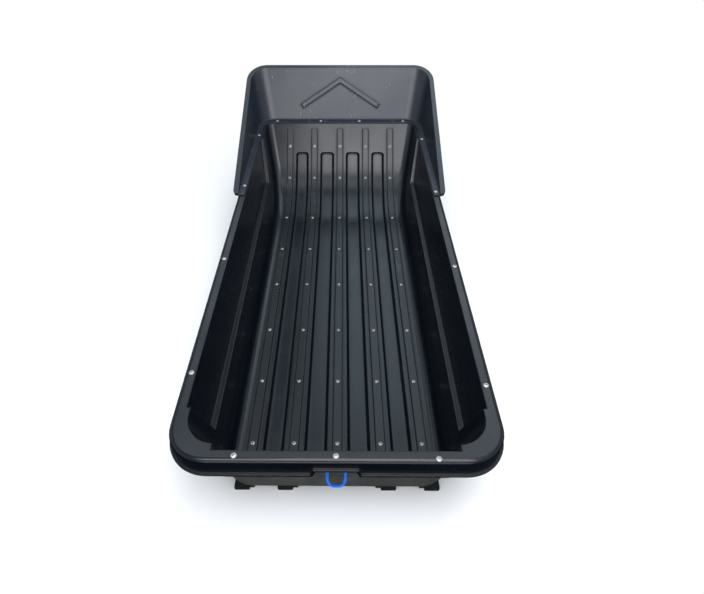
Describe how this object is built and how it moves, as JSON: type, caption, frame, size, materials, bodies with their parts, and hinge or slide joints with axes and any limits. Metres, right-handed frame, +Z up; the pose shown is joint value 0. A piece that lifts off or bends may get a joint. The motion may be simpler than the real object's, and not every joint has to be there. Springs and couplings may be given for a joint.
{
  "type": "towed cargo sled",
  "caption": "Open moulded tub sled on runners for towing loads over snow, with a swept bow, a riveted snow cowl, tow clevises and a rear rope loop.",
  "frame": {"origin": "on the ground under the middle of the sled's length and width", "axes": "+Y towards the bow, +X to the right side, +Z up, runner soles at Z = 0"},
  "size_m": [0.9392, 2.1204, 0.5518],
  "materials": {
    "hull_plastic": "moulded satin",
    "cowl_plastic": "moulded satin",
    "strip_plastic": "sawn sheet",
    "runner_plastic": "sliding wear",
    "stiffener_metal": "mill",
    "bracket_steel": "zinc plated",
    "rope": "laid rope"
  },
  "bodies": {
    "root": {"backing_strip_left_inner": "strip_plastic", "backing_strip_left_outer": "strip_plastic", "backing_strip_middle": "strip_plastic", "backing_strip_right_inner": "strip_plastic", "backing_strip_right_outer": "strip_plastic", "cowl": "cowl_plastic", "hull": "hull_plastic", "rim_stiffener_left": "stiffener_metal", "rim_stiffener_rear": "stiffener_metal", "rim_stiffener_right": "stiffener_metal", "rope_loop": "rope", "runner_left_inner": "runner_plastic", "runner_left_outer": "runner_plastic", "runner_middle": "runner_plastic", "runner_right_inner": "runner_plastic", "runner_right_outer": "runner_plastic", "tow_bracket_left": "bracket_steel", "tow_bracket_right": "bracket_steel"}
  },
  "joints": []
}
